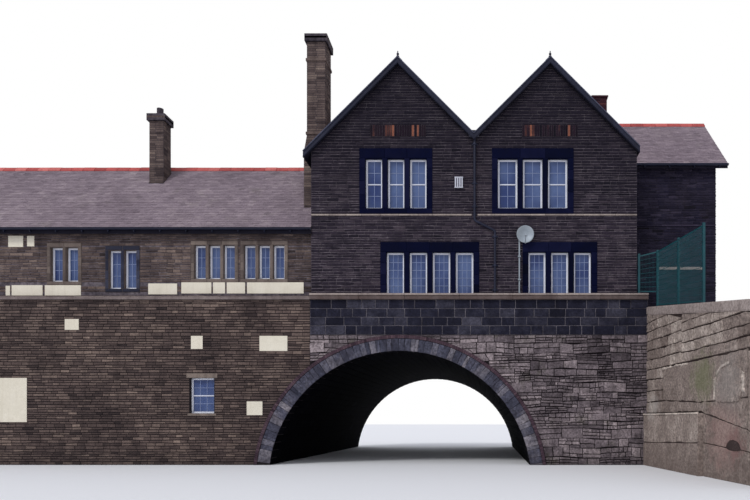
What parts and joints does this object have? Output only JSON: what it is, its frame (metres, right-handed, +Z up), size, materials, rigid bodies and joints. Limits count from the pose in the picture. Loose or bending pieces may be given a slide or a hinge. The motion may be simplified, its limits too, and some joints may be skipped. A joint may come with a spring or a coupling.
{
  "type": "railway station building over a tunnel arch",
  "caption": "Twin gabled stone railway station building above an arched tunnel portal, with lower side wings, chimneys and a retaining wing wall.",
  "frame": {"origin": "centre of the footprint at track bed level", "axes": "+X to the right seen from the front, +Y from the front portal into the tunnel, +Z up"},
  "size_m": [28.32, 23.075, 15.51],
  "materials": {
    "block_stone": "matt coursed gritstone",
    "rubble_stone": "matt rubble",
    "ring_stone": "matt dressed stone",
    "hood_brick": "matt brick",
    "dressed_stone": "matt dressed stone",
    "ledge_stone": "matt",
    "wing_concrete": "weathered render",
    "roof_tile": "matt tile",
    "slate": "matt slate",
    "red_tile": "matt tile",
    "brick": "matt brick",
    "lead": "dull lead",
    "dark_paint": "worn paint",
    "white_paint": "painted",
    "window_glass": "clear",
    "iron": "painted iron",
    "floor_timber": "bare boards",
    "pale_board": "painted board",
    "grey_metal": "dull",
    "vent_plastic": "matt",
    "green_metal": "powder coat"
  },
  "bodies": {
    "root": {"aerial": "grey_metal", "bargeboards": "dark_paint", "block_front_wall": "block_stone", "block_left_wall": "block_stone", "block_rear_wall": "block_stone", "block_right_wall": "block_stone", "brick_hoods": "hood_brick", "bridge_deck": "rubble_stone", "bridge_masonry_left": "rubble_stone", "bridge_masonry_right": "rubble_stone", "downpipe": "iron", "eaves_gutters": "iron", "end_chimney": "brick", "fence_panels": "green_metal", "fence_posts": "green_metal", "front_window_frames": "white_paint", "front_window_glass": "window_glass", "gable_ridge_tiles": "slate", "gable_roof_left": "roof_tile", "gable_roof_right": "roof_tile", "ledge": "ledge_stone", "left_wing_chimney": "block_stone", "left_wing_end_gable": "block_stone", "left_wing_floors": "floor_timber", "left_wing_ledge": "ledge_stone", "left_wing_lower_end_wall": "rubble_stone", "left_wing_lower_front_wall": "rubble_stone", "left_wing_lower_rear_wall": "rubble_stone", "left_wing_roof": "roof_tile", "left_wing_upper_front_wall": "block_stone", "left_wing_upper_rear_wall": "block_stone", "left_wing_window_stone": "dressed_stone", "lower_window_stone": "dressed_stone", "main_roof": "roof_tile", "portal_wall_front": "rubble_stone", "portal_wall_rear": "rubble_stone", "rear_parapet_coping": "ledge_stone", "rear_window_frames": "white_paint", "rear_window_glass": "window_glass", "rear_window_stone": "dressed_stone", "red_ridge_tiles": "red_tile", "right_wing_end_wall": "block_stone", "right_wing_floors": "floor_timber", "right_wing_front_wall": "block_stone", "right_wing_rear_wall": "block_stone", "soldier_brick_panels": "brick", "string_course": "ledge_stone", "tall_chimney": "block_stone", "upper_floor": "floor_timber", "upper_window_stone": "dressed_stone", "valley_gutters": "lead", "vault": "ring_stone", "voussoir_ring_front": "ring_stone", "voussoir_ring_rear": "ring_stone", "wall_panels": "pale_board", "wall_vent": "vent_plastic", "wing_wall": "wing_concrete", "wing_wall_coping": "wing_concrete", "wing_wall_plinth": "wing_concrete"}
  },
  "joints": []
}
